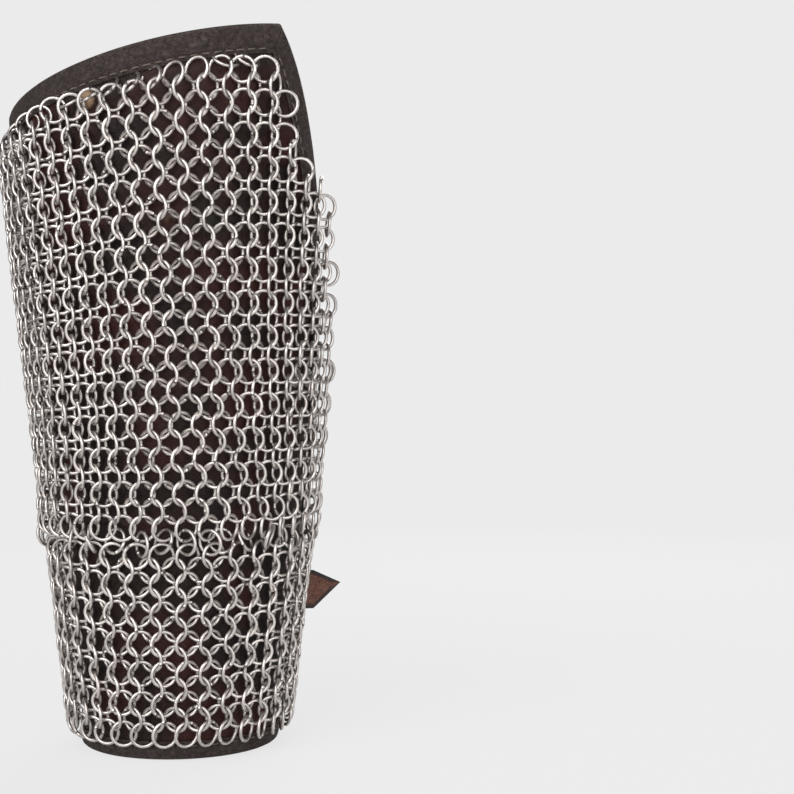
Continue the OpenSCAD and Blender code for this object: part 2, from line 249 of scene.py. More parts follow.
def sums(operation, first, second=0.0, third=0.0):
    inputs = {0: first, 1: second, 2: third}
    return addNode(first.id_data, "Math", inputs, operation=operation).outputs[0]


def vectorSums(operation, inputs, output=0):
    return addNode(inputs[0].id_data, "VectorMath", inputs, operation=operation).outputs[output]


def remap(value, low, high, toLow=0.0, toHigh=1.0):
    inputs = {"Value": value, "From Min": low, "From Max": high, "To Min": toLow, "To Max": toHigh}
    return addNode(value.id_data, "MapRange", inputs).outputs["Result"]


def mixColor(factor, first, second):
    inputs = {0: factor, 6: first, 7: second}
    return addNode(factor.id_data, "Mix", inputs, data_type="RGBA").outputs[2]


def bumped(height, strength, distance):
    inputs = {"Strength": strength, "Distance": distance, "Height": height}
    return addNode(height.id_data, "Bump", inputs).outputs["Normal"]


def newGroup(name, outputs, inputs):
    # Inputs are numbers with the value that they start from, or a vector where it is None
    tree = bpy.data.node_groups.new(name, "ShaderNodeTree")
    for label, value in inputs.items():
        kind = "NodeSocketVector" if value is None else "NodeSocketFloat"
        socket = tree.interface.new_socket(name=label, in_out="INPUT", socket_type=kind)
        if value is not None:
            socket.default_value = value
    for label in outputs:
        tree.interface.new_socket(name=label, in_out="OUTPUT", socket_type="NodeSocketFloat")
    return tree, tree.nodes.new("NodeGroupInput").outputs, tree.nodes.new("NodeGroupOutput")


def useGroup(tree, group, inputs):
    return addNode(tree, "Group", inputs, node_tree=group).outputs


def makeGrainGroup():
    own = {"driftScale": 220.0, "drift": 0.0016, "smoothness": 0.35, "pebbleDepth": 0.55, "creaseWidth": 0.06,
           "creaseDepth": 0.5, "fineScale": 4200.0, "fineDepth": 0.18, "mottleScale": 520.0}
    tree, given, result = newGroup(
        "leather grain", ("Height", "Mottle", "Patches"),
        {"Coordinates": None, "Grain Scale": 900.0, "Crease Scale": 160.0, "Patch Scale": 45.0})
    where = given["Coordinates"]
    drift = noise(where, own["driftScale"], 2, 0.5, "Color")
    shift = vectorSums("SCALE", {0: drift, "Scale": own["drift"]})
    bent = vectorSums("ADD", {0: where, 1: shift})
    pebbles = addNode(tree, "TexVoronoi", {
        "Vector": bent, "Scale": given["Grain Scale"], "Smoothness": own["smoothness"]}, feature="SMOOTH_F1")
    crease = noise(bent, given["Crease Scale"], 6, 0.62)
    ridge = sums("ABSOLUTE", sums("SUBTRACT", crease, 0.5))
    height = sums("MULTIPLY", remap(ridge, 0.0, own["creaseWidth"]), own["creaseDepth"])
    height = sums("MULTIPLY_ADD", pebbles.outputs["Distance"], -own["pebbleDepth"], height)
    height = sums("MULTIPLY_ADD", noise(where, own["fineScale"], 2), own["fineDepth"], height)
    mottle = noise(where, own["mottleScale"], 5, 0.7)
    patches = noise(where, given["Patch Scale"], 3, 0.5)
    setInputs(tree, result, {"Height": height, "Mottle": remap(mottle, 0.32, 0.68),
                             "Patches": remap(patches, 0.42, 0.62)})
    return tree


def makeWearGroup():
    own = {"breakUp": 1.4, "from": 0.35, "to": 0.95}
    tree, given, result = newGroup(
        "rubbed edge", ("Mask",), {"Coordinates": None, "Edge": 0.0, "Break Scale": 300.0, "Amount": 1.0})
    broken = noise(given["Coordinates"], given["Break Scale"], 5, 0.65)
    level = sums("MULTIPLY", given["Edge"], given["Amount"])
    level = sums("MULTIPLY_ADD", sums("SUBTRACT", broken, 0.5), own["breakUp"], level)
    mask = sums("MULTIPLY", remap(level, own["from"], own["to"]), given["Edge"])
    setInputs(tree, result, {"Mask": mask})
    return tree


def makeWireGroup():
    tree, given, result = newGroup(
        "wire marks", ("Scuffs", "Tarnish"), {"Coordinates": None, "Mark Scale": 1500.0})
    tarnish = noise(given["Coordinates"], 260.0, 5, 0.65)
    setInputs(tree, result, {"Scuffs": noise(given["Coordinates"], given["Mark Scale"], 4, 0.6),
                             "Tarnish": remap(tarnish, 0.4, 0.72)})
    return tree


grainGroup = makeGrainGroup()
wearGroup = makeWearGroup()
wireGroup = makeWireGroup()


def emptyTree(owner):
    owner.use_nodes = True
    owner.node_tree.nodes.clear()
    return owner.node_tree


def coordinates(tree):
    return addNode(tree, "TexCoord").outputs["Object"]


def newMaterial(name):
    material = bpy.data.materials.new(name)
    tree = emptyTree(material)
    shader = addNode(tree, "BsdfPrincipled")
    addNode(tree, "OutputMaterial", {"Surface": shader.outputs[0]})
    return material, tree, shader, coordinates(tree)


def attributeValue(tree, name):
    return addNode(tree, "Attribute", attribute_name=name).outputs["Fac"]


def leatherGrain(where, grainScale, creaseScale, patchScale):
    return useGroup(where.id_data, grainGroup, {"Coordinates": where, "Grain Scale": grainScale,
                                                "Crease Scale": creaseScale, "Patch Scale": patchScale})


def edgeWear(where, breakScale, amount):
    edge = attributeValue(where.id_data, "edge")
    return useGroup(where.id_data, wearGroup, {"Coordinates": where, "Edge": edge, "Break Scale": breakScale,
                                               "Amount": amount})["Mask"]


leatherWear = {"breakScale": 420.0, "bumpDepth": 0.0006}


def makeLeather(name, look):
    material, tree, shader, where = newMaterial(name)
    grain = leatherGrain(where, look["grainScale"], look["creaseScale"], look["patchScale"])
    color = mixColor(grain["Mottle"], look["dark"], look["base"])
    patches = sums("MULTIPLY", grain["Patches"], look["patchShare"])
    color = mixColor(patches, color, look["patch"])
    worn = edgeWear(where, leatherWear["breakScale"], look["wearAmount"])
    color = mixColor(worn, color, look["worn"])
    setInputs(tree, shader, {
        "Base Color": color, "Roughness": remap(grain["Mottle"], 0, 1, *look["rough"]),
        "Normal": bumped(grain["Height"], look["bump"], leatherWear["bumpDepth"]),
        "Specular IOR Level": look["specular"]})
    return material, tree, shader, where, color


def makeBackingLeather():
    # Dark reddish brown, with redder patches and a few tan scuffs, seen between the rings
    look = {"dark": (0.009, 0.0055, 0.005, 1), "base": (0.02, 0.0105, 0.009, 1),
            "patch": (0.05, 0.011, 0.008, 1), "worn": (0.13, 0.085, 0.055, 1), "patchShare": 0.7,
            "patchScale": 34.0, "grainScale": 700.0, "creaseScale": 120.0, "rough": (0.7, 0.52), "bump": 0.5,
            "specular": 0.25, "wearAmount": 0.5}
    scuffs = {"tan": (0.12, 0.083, 0.052, 1), "tanScale": 95.0, "tanEdge": (0.66, 0.74), "tanShare": 0.7,
              "green": (0.03, 0.032, 0.02, 1), "greenScale": 31.0, "greenEdge": (0.6, 0.7), "greenShare": 0.5,
              "bare": (0.3, 0.2, 0.125, 1), "bareAzimuth": -23, "bareHeight": 262.5, "bareSize": (2.6, 4.2)}
    material, tree, shader, where, color = makeLeather("backingLeather", look)

    def scuffed(below, kind, detail):
        spots = noise(where, scuffs[kind + "Scale"], detail, 0.6)
        mask = remap(spots, *scuffs[kind + "Edge"], 0, scuffs[kind + "Share"])
        return mixColor(mask, below, scuffs[kind])

    color = scuffed(color, "tan", 5)
    middle = skinPoint(scuffs["bareAzimuth"], scuffs["bareHeight"], 0) * mm
    distance = vectorSums("DISTANCE", {0: where, 1: middle}, "Value")
    inner, outer = scuffs["bareSize"]
    color = mixColor(remap(distance, outer * mm, inner * mm), color, scuffs["bare"])
    setInputs(tree, shader, {"Base Color": scuffed(color, "green", 4)})
    return material


def makeStrapLeather():
    # The grain side is dark, the flesh side is a mottled red brown with a burnished rim
    look = {"dark": (0.03, 0.017, 0.013, 1), "base": (0.075, 0.043, 0.035, 1),
            "patch": (0.05, 0.026, 0.02, 1), "worn": (0.015, 0.01, 0.009, 1), "patchShare": 0.6,
            "patchScale": 70.0, "grainScale": 1100.0, "creaseScale": 200.0, "rough": (0.62, 0.42),
            "bump": 0.5, "specular": 0.4, "wearAmount": 1.5}
    flesh = {"dark": (0.06, 0.022, 0.015, 1), "light": (0.21, 0.082, 0.05, 1), "fibreScale": 900.0,
             "rimScale": 260.0, "rimAmount": 1.5}
    material, tree, shader, where, color = makeLeather("strapLeather", look)
    fibres = remap(noise(where, flesh["fibreScale"], 6, 0.75), 0.36, 0.64)
    fleshColor = mixColor(fibres, flesh["dark"], flesh["light"])
    rim = edgeWear(where, flesh["rimScale"], flesh["rimAmount"])
    fleshColor = mixColor(rim, fleshColor, look["worn"])
    color = mixColor(attributeValue(tree, "flesh"), color, fleshColor)
    setInputs(tree, shader, {"Base Color": color})
    return material


def makeLiningSuede():
    look = {"dark": (0.11, 0.06, 0.04, 1), "light": (0.2, 0.12, 0.08, 1), "napScale": 2600.0,
            "patchShare": 0.35}
    material, tree, shader, where = newMaterial("liningSuede")
    grain = leatherGrain(where, 2400.0, 90.0, 40.0)
    nap = noise(where, look["napScale"], 5, 0.8)
    color = mixColor(remap(nap, 0.3, 0.7), look["dark"], look["light"])
    color = mixColor(sums("MULTIPLY", grain["Patches"], look["patchShare"]), color, look["dark"])
    setInputs(tree, shader, {"Base Color": color, "Normal": bumped(nap, 0.4, 0.0004), "Roughness": 0.92,
                             "Sheen Weight": 0.25, "Specular IOR Level": 0.2})
    return material


def makeThread():
    look = {"dark": (0.05, 0.036, 0.03, 1), "light": (0.19, 0.145, 0.12, 1), "twistScale": 900.0,
            "twistShare": 0.55, "mottleShare": 0.4}
    material, tree, shader, where = newMaterial("waxedThread")
    grain = leatherGrain(where, 3000.0, 700.0, 90.0)
    wave = {"Vector": where, "Scale": look["twistScale"], "Distortion": 1.5}
    twist = addNode(tree, "TexWave", wave, bands_direction="DIAGONAL").outputs["Fac"]
    mottle = sums("MULTIPLY", grain["Mottle"], look["mottleShare"])
    shade = sums("MULTIPLY_ADD", twist, look["twistShare"], mottle)
    setInputs(tree, shader, {"Base Color": mixColor(shade, look["dark"], look["light"]),
                             "Normal": bumped(twist, 0.6, 0.0002), "Roughness": 0.6})
    return material


def makeSteel(name, look):
    material, tree, shader, where = newMaterial(name)
    marks = useGroup(tree, wireGroup, {"Coordinates": where, "Mark Scale": look["markScale"]})
    each = addNode(tree, "NewGeometry").outputs["Random Per Island"]
    color = mixColor(each, look["cool"], look["warm"])
    tarnish = sums("MULTIPLY", marks["Tarnish"], look["tarnishShare"])
    setInputs(tree, shader, {
        "Base Color": mixColor(tarnish, color, look["tarnish"]), "Metallic": 1.0,
        "Roughness": remap(marks["Scuffs"], 0.3, 0.7, *look["rough"]),
        "Normal": bumped(marks["Scuffs"], look["bump"], 0.0001)})
    return material


backingLeather = makeBackingLeather()
bindingLeather = makeLeather("bindingLeather", {
    "dark": (0.018, 0.0125, 0.0115, 1), "base": (0.066, 0.049, 0.045, 1), "patch": (0.032, 0.022, 0.02, 1),
    "worn": (0.14, 0.108, 0.096, 1), "patchShare": 0.55, "patchScale": 60.0, "grainScale": 1500.0,
    "creaseScale": 320.0, "rough": (0.8, 0.6), "bump": 0.9, "specular": 0.24, "wearAmount": 0.7})[0]
strapLeather = makeStrapLeather()
liningSuede = makeLiningSuede()
waxedThread = makeThread()
ringSteel = makeSteel("ringSteel", {
    "cool": (0.58, 0.545, 0.525, 1), "warm": (0.74, 0.69, 0.66, 1), "tarnish": (0.27, 0.242, 0.23, 1),
    "tarnishShare": 0.55, "markScale": 1900.0, "rough": (0.33, 0.48), "bump": 0.3})
fittingSteel = makeSteel("fittingSteel", {
    "cool": (0.42, 0.4, 0.385, 1), "warm": (0.48, 0.455, 0.435, 1), "tarnish": (0.16, 0.145, 0.135, 1),
    "tarnishShare": 0.6, "markScale": 1200.0, "rough": (0.3, 0.5), "bump": 0.2})
print("materials are made")


# Leather sheets: the backing and the lining, each in a front and a back piece

sheets = {"fromEnd": 1.2, "step": 3.0, "ripple": 0.22}


def sheetPiece(name, azFrom, azTo, outer, inner, material):
    # azTo gives the far edge at a height, so that a slanted edge is followed
    rows = int(abs(azTo(100.0) - azFrom) / 2.4)
    columns = int(sleeve["topHeight"] / sheets["step"])
    s, t = np.meshgrid(np.linspace(0, 1, rows), np.linspace(0, 1, columns), indexing="ij")
    az = azFrom + s * (azTo(150.0) - azFrom)
    for _ in range(30):
        z = sheets["fromEnd"] + t * (topHeight(az, sheets["fromEnd"]) - sheets["fromEnd"])
        az = azFrom + s * (azTo(z) - azFrom)
    ripple = sheets["ripple"] * unevenness(z / 9, az / 7, (z + az) / 14)
    front = skinPoint(az, z, outer + ripple - sheets["ripple"])
    back = skinPoint(az, z, inner + 0 * z)
    loops = np.concatenate([front, back[:, ::-1]], axis=1)
    count = loops.shape[1]
    faces = gridFaces(rows, count, wrapColumns=True)
    for row, flip in ((0, 1), (rows - 1, -1)):
        for c in range(columns - 1):
            quad = [row * count + k for k in (c, c + 1, count - 2 - c, count - 1 - c)]
            faces.append(quad[::-flip])
    return buildPiece(name, loops, faces, material)


def frontFarEdge(z):
    return edgeAzimuth(z) - arcAngle(sheets["fromEnd"], z)


def backFarEdge(z):
    return sleeve["flapAzimuth"] + arcAngle(sheets["fromEnd"], z)


def makeSheets():
    frontFrom = sleeve["joinAzimuth"] - 360
    layers = [("Backing", 0, -sleeve["backing"], backingLeather, "leather", "backing", "panel"),
              ("Lining", -sleeve["backing"], -stack, liningSuede, "lining_suede", "lining", "lining")]
    for label, outer, inner, material, slot, frontNode, backNode in layers:
        front = sheetPiece("front" + label, frontFrom, frontFarEdge, outer, inner, material)
        place(front, "sleeve", ["front_" + frontNode])
        back = sheetPiece("back" + label, sleeve["joinAzimuth"], backFarEdge, outer, inner, material)
        bendWithFlap(back, ["back_" + backNode])


makeSheets()
print("backing and lining are made")


# Bindings: leather folded over every edge

fold = {"depth": 2.4, "puff": 0.14, "grooveDepth": 0.3, "grooveHalf": 0.55, "seamIn": 1.6,
        "swell": 0.1, "mitreGap": 0.05, "points": 12}


def bindingProfile(width):
    # Closed outline as (distance from the edge, height over the leather)
    t = sleeve["bindThickness"]
    seam = width - fold["seamIn"]
    leg = [(width, 0.05), (width + 0.02, 0.5 * t), (width - 0.2, 0.88 * t), (width - 0.6, t),
           (seam + fold["grooveHalf"], t), (seam, t - fold["grooveDepth"]), (seam - fold["grooveHalf"], t),
           (seam - 1.4, t + fold["puff"]), (width * 0.5, t + fold["puff"]), (fold["depth"] + 0.6, t + 0.05)]
    middle, half = -stack / 2, stack / 2 + t
    arc = [(fold["depth"] * (1 - math.cos(a)), middle + half * math.sin(a))
           for a in np.radians(np.linspace(80, -80, 11))]
    other = [(d, -stack - h) for d, h in reversed(leg)]
    back = [(width - 0.5, -stack + 0.02), (fold["depth"] * 0.7, -stack + 0.02), (fold["depth"] * 0.7, 0.0),
            (width - 0.5, 0.0)]
    return np.array(leg + arc + other + back)


def bindingPiece(name, width, pointAt, steps):
    # pointAt maps a share of the length, a distance from the edge and a height to a point
    profile = bindingProfile(width)
    edge = np.exp(-((profile[:, 0] / 1.6) ** 2)) * (np.abs(profile[:, 1] + stack / 2) > stack / 2)
    lip = np.exp(-(((profile[:, 0] - width) / 0.5) ** 2)) * (profile[:, 1] > 0.4)
    sections = [pointAt(share, profile[:, 0], profile[:, 1]) for share in np.linspace(0, 1, steps)]
    piece = tubeMesh(name, sections, bindingLeather, creaseAngle=75)
    markPoints(piece, "edge", np.tile(np.clip(edge + lip, 0, 1), steps))
    return piece


def wavy(along, amount):
    return amount * unevenness(along / 6.0, along / 2.3)


def swollen(out, along):
    # The outer face is a little uneven
    return out + wavy(along, fold["swell"]) * (out > 0.5)


def makeBindings():
    top, rim, side = sleeve["topWidth"], sleeve["rimWidth"], sleeve["sideWidth"]
    join, flap = sleeve["joinAzimuth"], sleeve["flapAzimuth"]
    nearTop, nearRim, halfWay = 275, 4, 140  # heights at which the back edge's width becomes an angle

    def roundPlace(azFrom, azTo, width, waves, phase, heightAt):
        def at(share, inside, out):
            az = azFrom + share * (azTo(inside) - azFrom)
            inside = inside + wavy(az, waves) * inside / width
            return skinPoint(az, heightAt(az, inside), swollen(out, az + phase))
        return at

    def topPlace(azFrom, azTo):
        return roundPlace(azFrom, azTo, top, 0.16, 50, topHeight)

    def rimPlace(azFrom, azTo):
        return roundPlace(azFrom, azTo, rim, 0.14, 80, lambda az, up: up)

    shares = np.linspace(0, 1, fold["points"])
    cornerAz, cornerZ = zip(*(cornerOfEdge(down, down / top) for down in np.linspace(0, top, fold["points"])))

    def frontMitre(down):
        return np.interp(down, np.linspace(0, top, fold["points"]), cornerAz) - 2 * fold["mitreGap"]

    def rimEnd(up):
        return edgeAzimuth(up) - sleeve["sideAngle"] * np.clip(up / rim, 0, 1)

    def sidePlace(share, inside, out):
        part = np.clip(inside / side, 0, 1.05)
        low = rim * part + fold["mitreGap"]
        high = np.interp(part, shares, cornerZ) - 3 * fold["mitreGap"]
        z = low + share * (high - low)
        return skinPoint(edgeAzimuth(z) - part * sleeve["sideAngle"], z, swollen(out, z / 1.6))

    def flapPlace(share, inside, out):
        part = inside / side
        low = rim * part + fold["mitreGap"]
        high = topHeight(flap + arcAngle(inside, halfWay), top * part + 2 * fold["mitreGap"])
        z = low + share * (high - low)
        return skinPoint(flap + arcAngle(inside, z), z, swollen(out, z / 1.6))

    def flapEndTop(down):
        return flap + arcAngle(down / top * side, nearTop) + fold["mitreGap"]

    def flapEndRim(up):
        return flap + arcAngle(up / rim * side, nearRim) + fold["mitreGap"]

    bindings = (
        ("topBinding", "top_binding", "sleeve", top, topPlace(join - 360, frontMitre), 110),
        ("wristBinding", "wrist_binding", "sleeve", rim, rimPlace(join - 360, rimEnd), 130),
        ("closureBinding", "closure_binding", "sleeve", side, sidePlace, 120),
        ("backTopBinding", "back_top_binding", "both", top, topPlace(join - 0.1, flapEndTop), 60),
        ("backWristBinding", "back_wrist_binding", "both", rim, rimPlace(join - 0.1, flapEndRim), 60),
        ("backEdgeBinding", "back_edge_binding", "back_flap", side, flapPlace, 120),
    )
    for name, node, body, width, pointAt, steps in bindings:
        piece = bindingPiece(name, width, pointAt, steps)
        if body == "both":
            bendWithFlap(piece, [node])
        else:
            place(piece, body, [node])


makeBindings()
print("bindings are made")


# Stitches

thread = {"radius": 0.36, "length": 3.3, "pitch": 4.5, "rise": 0.36, "sunk": 0.12, "dip": 0.15, "turnPlay": 4,
          "sides": 7, "parts": 7}


def stitchSections(az, z, turn):
    # A stitch rises from its hole, lies on the leather and goes down again
    along, outward, up = skinAxes(az)
    a = math.radians(turn)
    direction, across = along * math.cos(a) + up * math.sin(a), up * math.cos(a) - along * math.sin(a)
    base = skinPoint(az, z, sleeve["bindThickness"] - fold["grooveDepth"] + thread["sunk"])
    sections = []
    for share in np.linspace(-1, 1, thread["parts"]):
        lift = thread["rise"] * (1 - share ** 4) - thread["dip"] * share ** 4
        centre = base + direction * share * thread["length"] / 2 + outward * lift
        radius = thread["radius"] * (1 - 0.35 * share ** 6)
        sections.append([centre + radius * (math.cos(b) * across + math.sin(b) * outward)
                         for b in fullTurn(thread["sides"])])
    return sections


def stitchPiece(name, stitches):
    sections = []
    for k, (az, z, turn) in enumerate(stitches):
        play = thread["turnPlay"] * unevenness(k * 2.7, k * 0.9)
        sections.append(stitchSections(float(az), float(z), float(turn) + play))
    rows, columns = thread["parts"], thread["sides"]
    faces = repeatFaces(tubeFaces(rows, columns), rows * columns, len(stitches))
    return buildPiece(name, sections, faces, waxedThread, creaseAngle=80)


def topRow(azFrom, azTo):
    down = sleeve["topWidth"] - fold["seamIn"]
    rows = []
    for az in np.arange(azFrom, azTo, arcAngle(thread["pitch"], sleeve["topHeight"])):
        turn = -math.degrees(math.atan(topSlant * math.sin(math.radians(az - sleeve["topAzimuth"]))))
        rows.append((az, topHeight(az, down), turn))
    return rows


def rimRow(azFrom, azTo):
    z = sleeve["rimWidth"] - fold["seamIn"]
    return [(az, z, 0) for az in np.arange(azFrom, azTo, arcAngle(thread["pitch"], z))]


def sideRow(zFrom, zTo):
    rows, z = [], zFrom
    seamShare = 1 - fold["seamIn"] / sleeve["sideWidth"]
    while z < zTo:
        here, above = (edgeAzimuth(h) - sleeve["sideAngle"] * seamShare for h in (z, z + 1))
        turn = 90 - math.degrees(math.atan((above - here) * math.pi / 180 * skinRadius(z)))
        rows.append((here, z, turn))
        z += thread["pitch"] * math.sin(math.radians(turn))
    return rows


def makeStitches():
    seams = {"from": -98, "rimTo": 132, "bareFrom": 246, "flapTopFrom": 9, "flapRimFrom": 15, "endIn": 2,
             "strapHeights": (57, 155), "strapClear": 12}
    cornerAz, cornerZ = cornerOfEdge(sleeve["topWidth"] - fold["seamIn"], 1)
    front = topRow(seams["from"], cornerAz - 1) + rimRow(seams["from"], seams["rimTo"])
    place(stitchPiece("frontStitches", front), "sleeve", ["front_seams"])
    side = sideRow(seams["bareFrom"], cornerZ - seams["endIn"])
    place(stitchPiece("closureStitches", side), "sleeve", ["closure_seam"])
    flap, backTo = sleeve["flapAzimuth"], sleeve["joinAzimuth"] - seams["endIn"]
    back = topRow(flap + seams["flapTopFrom"], backTo) + rimRow(flap + seams["flapRimFrom"], backTo)
    inside = sleeve["sideWidth"] - fold["seamIn"]
    topEnd = topHeight(flap, sleeve["topWidth"]) - seams["endIn"]
    for z in np.arange(sleeve["rimWidth"] + thread["length"], topEnd, thread["pitch"]):
        if min(abs(z - h) for h in seams["strapHeights"]) > seams["strapClear"]:
            back.append((flap + arcAngle(inside, z), z, 90))
    bendWithFlap(stitchPiece("backStitches", back), ["back_seams"])


makeStitches()
print("stitches are made")


# Mail: a wide mesh near the wrist and a narrow one above it

ringMail = {
    "wire": 1.3, "wireShown": 1.42, "ring": 9.9, "wobble": 1.2,
    "lower": {"step": 5.4, "link": 7.65, "out": 3.9, "bands": 3, "lean": (25, 25)},
    "upper": {"step": 3.5, "link": 7.8, "out": 4.3, "bands": 8, "lean": (30, 35)},
    "join": 86, "fan": 0.6, "drift": 7.5, "topLap": 1.6, "sideLap": 1.4, "free": 237, "from": -100.8,
    "pinned": 2, "spread": 0.8, "spreadTo": 0.62, "proud": 1.3, "proudLength": 9,
    "parts": 28, "sides": 8, "jointGap": 0.16, "tiltPlay": 3.2, "placePlay": 0.12, "skewPlay": 0.12,
    "seed": 11,
}
halfRing = (ringMail["ring"] + ringMail["wire"]) / 2

# Rings at the top go under the binding, and loose ones tie the two meshes
anchors = {"least": 4.2, "most": 10.6, "under": 0.9, "leastDip": 14, "leanShare": 1.1, "mostRise": 0.9}
ties = {"level": 90.2, "spacing": 9.4, "from": -94, "endIn": 8, "least": 1.15, "most": 2.1, "node": 7,
        "tries": 220, "azPlay": 3, "levelPlay": 1.2, "out": (3.8, 5.6), "turn": 50, "dip": 28}


def courseHeights(start, end, mesh):
    heights, z = [], start
    while z < end:
        heights.append(z)
        across = (skinRadius(z) + mesh["out"]) * math.radians(mesh["step"])
        z += math.sqrt(mesh["link"] ** 2 - across ** 2)
    return heights


def belowBinding(az, z):
    # How far the lowest point of a ring stands under the top binding
    return float(topHeight(az, sleeve["topWidth"])) - (z - ringMail["ring"] / 2)


def onMail(az, z):
    side = insideEdge(z, halfRing - ringMail["sideLap"]) if z > ringMail["free"] else edgeAzimuth(z)
    return ringMail["from"] - 0.01 <= az <= side and belowBinding(az, z) >= anchors["least"]


def strandStep(share):
    # Degrees from strand to strand: they spread towards the wrist, where the sleeve is narrower
    return ringMail["upper"]["step"] + ringMail["spread"] * max(0.0, 1 - share / ringMail["spreadTo"]) ** 2


def underBinding(below, turn):
    # The top of the ring comes to lie just inside the edge of the binding: its turn, dip and rise
    turn *= anchors["leanShare"] * min(1, 0.25 + (below - anchors["least"]) / 3)
    reach = below + anchors["under"]
    dip = -max(anchors["leastDip"], math.degrees(math.acos(min(1.0, reach / ringMail["ring"]))))
    short = reach - ringMail["ring"] * math.cos(math.radians(dip))
    return turn, dip, min(anchors["mostRise"], max(0, short))


def ringPlaces():
    # Node number and place of each ring: azimuth, height, distance out, turn, dip of its top
    lower = courseHeights(sleeve["rimWidth"] + halfRing - fold["seamIn"], ringMail["join"], ringMail["lower"])
    first = lower[-1] + 2 * halfRing + 0.2
    fanTop = float(topHeight(sleeve["edgeAzimuth"] - 180 + 17, sleeve["topWidth"]))
    fanLength = fanTop - first
    upper = courseHeights(first, fanTop - halfRing + ringMail["topLap"], ringMail["upper"])
    above = courseHeights(first, fanTop + halfRing, ringMail["upper"])
    found = {}
    for mesh, heights, count, nodeFrom in (("lower", lower, len(lower), 1), ("upper", above, len(upper), 7)):
        own = ringMail[mesh]
        reach = int(180 / own["step"]) + 1
        for k, z in enumerate(heights):
            sameKind = len(range(k % 2, count, 2))
            node = nodeFrom + 2 * min((k // 2) * own["bands"] // sameKind, own["bands"] - 1) + k % 2
            share = (z - first) / fanLength if mesh == "upper" else 0
            ringLean = own["lean"][0] + (own["lean"][1] - own["lean"][0]) * share
            for j in range(-reach, reach + 1):
                if abs(j) % 2 != k % 2:
                    continue
                az, height, out = j * own["step"], z, own["out"]
                if mesh == "upper":
                    az = (j + ringMail["pinned"]) * strandStep(share) - ringMail["pinned"] * own["step"]
                    az -= float(arcAngle(ringMail["drift"] * share ** 2, z))
                    slant = (float(topHeight(az, sleeve["topWidth"])) - fanTop) / fanLength
                    height = first + (z - first) * (1 + ringMail["fan"] * slant)
                    out += ringMail["proud"] * math.exp(-((z - first) / ringMail["proudLength"]) ** 2)
                if not onMail(az, height):
                    continue
                sway = ringMail["wobble"] * math.sin(math.radians(97 * k + 41 * j))
                turn, dip = (1 if k % 2 == 0 else -1) * ringLean + sway, 0
                if belowBinding(az, height) < anchors["most"]:
                    turn, dip, rise = underBinding(belowBinding(az, height), turn)
                    height += rise
                found[mesh, k, j] = (node, az, height, out, turn, dip)
    # A ring at an edge stays where two others hold it
    held = [ring for (mesh, k, j), ring in found.items()
            if sum((mesh, k + a, j + b) in found for a in (-1, 1) for b in (-1, 1)) > 1]
    print("rings in the meshes:", len(held), "of", len(found))
    return held


def ringAxes(az, z, out, turn, dip, play):
    # Centre, side, top and facing of a ring, which hangs from its lowest point where its top dips
    along, outward, up = skinAxes(az)
    a = math.radians(turn + play[0])
    side = along * math.cos(a) - outward * math.sin(a)
    facing = along * math.sin(a) + outward * math.cos(a)
    b = math.radians(play[1] + dip)
    top = up * math.cos(b) + facing * math.sin(b)
    centre = skinPoint(az, z, out) + along * play[2] + up * play[3]
    if dip:
        centre = centre + (top - up) * ringMail["ring"] / 2
    return centre, side, top, np.cross(side, top)


def ringPoints(spot, play):
    # A wire ring, cut once, with its two ends a little apart
    centre, side, top, facing = ringAxes(*spot, play)
    radius, wire = ringMail["ring"] / 2, ringMail["wireShown"] / 2
    gap = ringMail["jointGap"] / radius / 2
    turns = np.linspace(play[4] + gap, play[4] + 2 * math.pi - gap, ringMail["parts"] + 1)
    radial = np.cos(turns)[:, None] * side + np.sin(turns)[:, None] * top
    loops = fullTurn(ringMail["sides"])
    skew = (np.linspace(-1, 1, len(turns)) ** 5)[:, None] * play[5]
    line = centre + radial * radius + facing * skew
    return (line[:, None, :] + wire * (np.cos(loops)[None, :, None] * radial[:, None, :]
                                       + np.sin(loops)[None, :, None] * facing[None, None, :]))


def ringLine(spot):
    centre, side, top, _ = ringAxes(*spot, (0, 0, 0, 0))
    turns = fullTurn(24)[:, None]
    return centre + (np.cos(turns) * side + np.sin(turns) * top) * ringMail["ring"] / 2


def tiePlaces(rings, random):
    # Each loose ring takes the clearest of many places between its neighbours
    near = [(ring[1], ringLine(ring[1:])) for ring in rings if abs(ring[2] - ties["level"]) < 16]
    found = []
    lastAz = float(edgeAzimuth(ties["level"])) - ties["endIn"]
    for az in np.arange(ties["from"], lastAz, ties["spacing"]):
        lines = np.concatenate([line for other, line in near if abs(other - az) < 18])
        best, clearest = None, 0
        for _ in range(ties["tries"]):
            spot = (az + random.uniform(-ties["azPlay"], ties["azPlay"]),
                    ties["level"] + random.uniform(-ties["levelPlay"], ties["levelPlay"]),
                    random.uniform(*ties["out"]), random.uniform(-ties["turn"], ties["turn"]),
                    random.uniform(-ties["dip"], ties["dip"]))
            clear = np.sqrt(((ringLine(spot)[:, None] - lines[None]) ** 2).sum(-1)).min()
            if clearest < clear < ties["most"]:
                best, clearest = spot, clear
        if clearest > ties["least"]:
            near.append((best[0], ringLine(best)))
            found.append((ties["node"], *best))
    print("ties between the meshes:", len(found))
    return found


